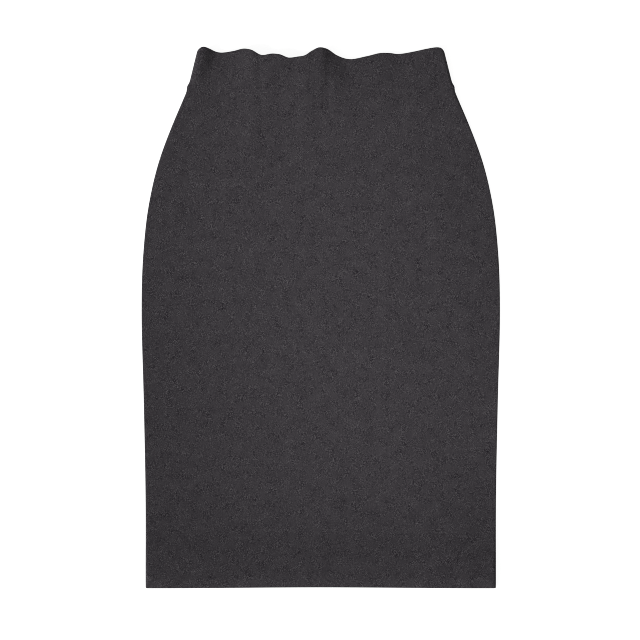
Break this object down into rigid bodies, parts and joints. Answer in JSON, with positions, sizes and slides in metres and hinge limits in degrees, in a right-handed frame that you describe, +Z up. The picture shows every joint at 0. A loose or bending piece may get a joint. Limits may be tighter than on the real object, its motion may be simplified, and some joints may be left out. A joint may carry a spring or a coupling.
{
  "type": "pencil skirt",
  "caption": "Plain pull-on pencil skirt in charcoal melange double-knit, with an elastic waistband and a straight blind hem, lying flat on its back.",
  "frame": {"origin": "middle of the laid skirt's footprint, on the surface that it lies on", "axes": "+X towards the wearer's left, +Y from the hem to the waist, +Z up from the surface, out of the skirt's front"},
  "size_m": [0.4588, 0.692, 0.0213],
  "materials": {
    "charcoal_double_knit": "matt charcoal melange double-knit, soft and very slightly fuzzy, with fine pale and dark flecks"
  },
  "bodies": {
    "root": {"front_panel": "charcoal_double_knit", "back_panel": "charcoal_double_knit", "front_waistband": "charcoal_double_knit", "back_waistband": "charcoal_double_knit"}
  },
  "joints": []
}
